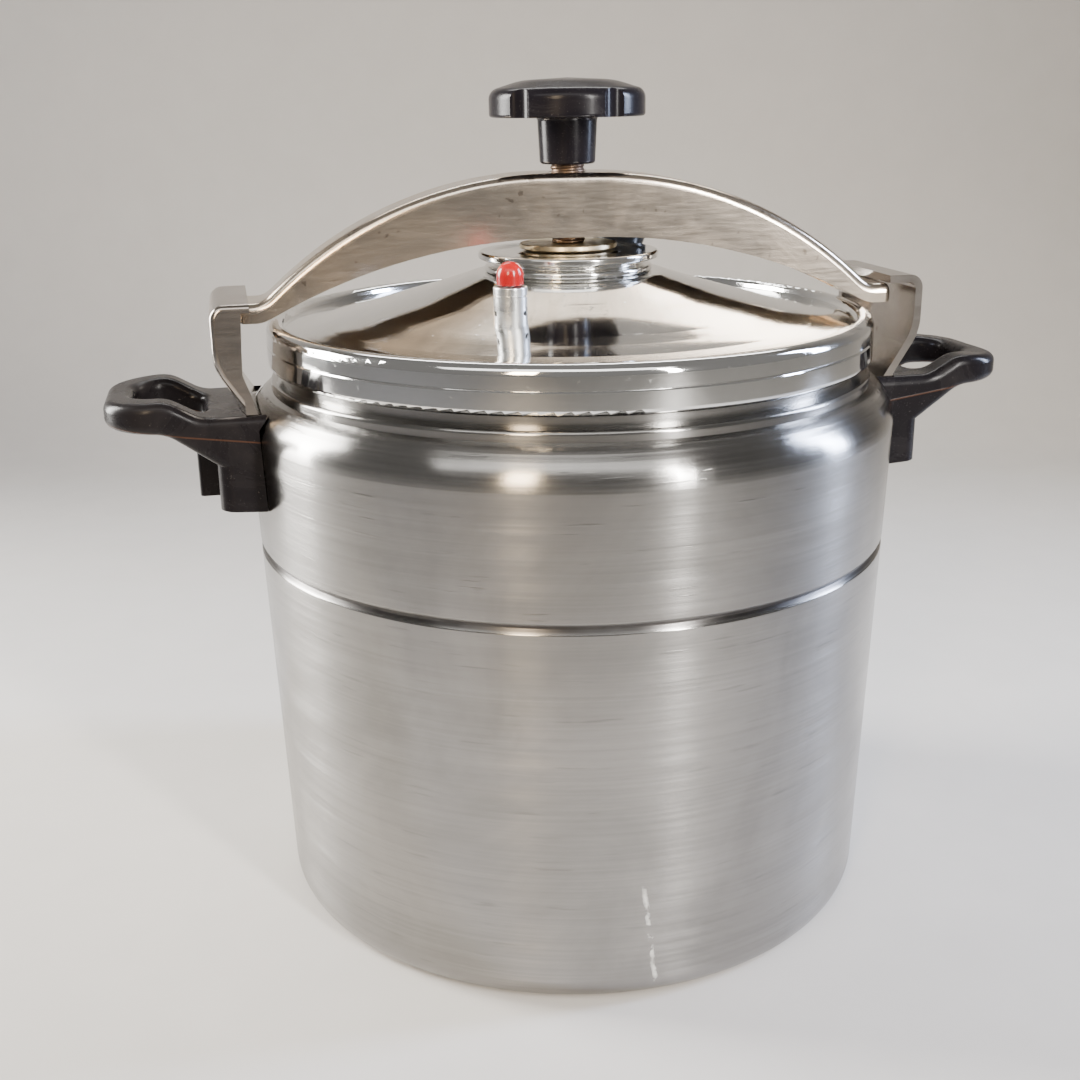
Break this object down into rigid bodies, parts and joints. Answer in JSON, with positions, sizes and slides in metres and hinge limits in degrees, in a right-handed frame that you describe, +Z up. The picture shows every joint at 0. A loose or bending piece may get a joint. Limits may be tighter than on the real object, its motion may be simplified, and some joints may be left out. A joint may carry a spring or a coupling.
{
  "type": "stovetop pressure cooker",
  "caption": "Drum-shaped stovetop pressure cooker with an outside lid clamped by a swinging bridge and screw knob, a weight valve, a spring safety valve and two loop handles.",
  "frame": {"origin": "centre of the pot's flat base, on the surface it stands on", "axes": "+Z up along the pot's axis, +X towards the right handle, -Y the front where the safety valve is"},
  "size_m": [0.357, 0.254, 0.3215],
  "materials": {
    "pot_metal": "polished, with fine turning lines",
    "lid_metal": "mirror polished",
    "boss_metal": "turned and polished",
    "bridge_steel": "satin",
    "ear_steel": "polished",
    "spindle_steel": "dark, threaded",
    "foot_brass": "worn",
    "insert_brass": "turned",
    "valve_metal": "satin turned",
    "inner_steel": "plain",
    "rivet_metal": "plain",
    "seal_rubber": "matte",
    "black_knob": "glossy moulded resin",
    "black_handle": "glossy moulded resin",
    "black_weight": "glossy moulded resin",
    "red_cap": "glossy"
  },
  "bodies": {
    "pot": {"pot_body": "pot_metal", "lid": "lid_metal", "lid_gasket": "seal_rubber", "lid_boss": "boss_metal", "lid_boss_nut": "inner_steel", "safety_valve_body": "valve_metal", "safety_valve_nut": "inner_steel", "safety_valve_washer": "seal_rubber", "safety_valve_spring": "inner_steel", "vent_pipe": "valve_metal", "vent_nut": "inner_steel", "vent_washer": "seal_rubber", "right_ear": "ear_steel", "right_ear_rivets": "rivet_metal", "right_handle": "black_handle", "right_handle_nut": "inner_steel", "right_handle_screw": "inner_steel", "left_ear": "ear_steel", "left_ear_rivets": "rivet_metal", "left_handle": "black_handle", "left_handle_nut": "inner_steel", "left_handle_screw": "inner_steel"},
    "bridge": {"bridge": "bridge_steel", "bridge_nut": "inner_steel"},
    "foot": {"pressure_foot": "foot_brass"},
    "screw": {"spindle": "spindle_steel", "knob": "black_knob", "knob_insert": "insert_brass"},
    "safety_pin": {"safety_valve_stem": "inner_steel", "safety_valve_seal": "seal_rubber", "safety_valve_cap": "red_cap"},
    "weight": {"weight_cap": "black_weight", "weight_core": "inner_steel"}
  },
  "joints": [
    {"name": "bridge_swing", "type": "hinge", "parent": "pot", "child": "bridge", "pos_m": [0, 0, 0.27], "axis": [0, 0, 1], "range_deg": [-85, 20]},
    {"name": "screw_travel", "type": "slide", "parent": "bridge", "child": "foot", "axis": [0, 0, 1], "range_m": [0, 0.0025]},
    {"name": "knob_turn", "type": "hinge", "parent": "foot", "child": "screw", "pos_m": [0, 0, 0.27], "axis": [0, 0, 1], "range_deg": [0, 460]},
    {"name": "safety_pin_lift", "type": "slide", "parent": "pot", "child": "safety_pin", "axis": [0, 0, 1], "range_m": [0, 0.003], "stiffness_N_per_m": 800, "springref_m": -0.002, "deforming": ["safety_valve_spring"]},
    {"name": "weight_lift", "type": "slide", "parent": "pot", "child": "weight", "axis": [0, 0, 1], "range_m": [0, 0.004]}
  ],
  "couplings": [
    {"joint": "knob_turn", "follows": "screw_travel", "rad_per_m": 3141.6}
  ]
}
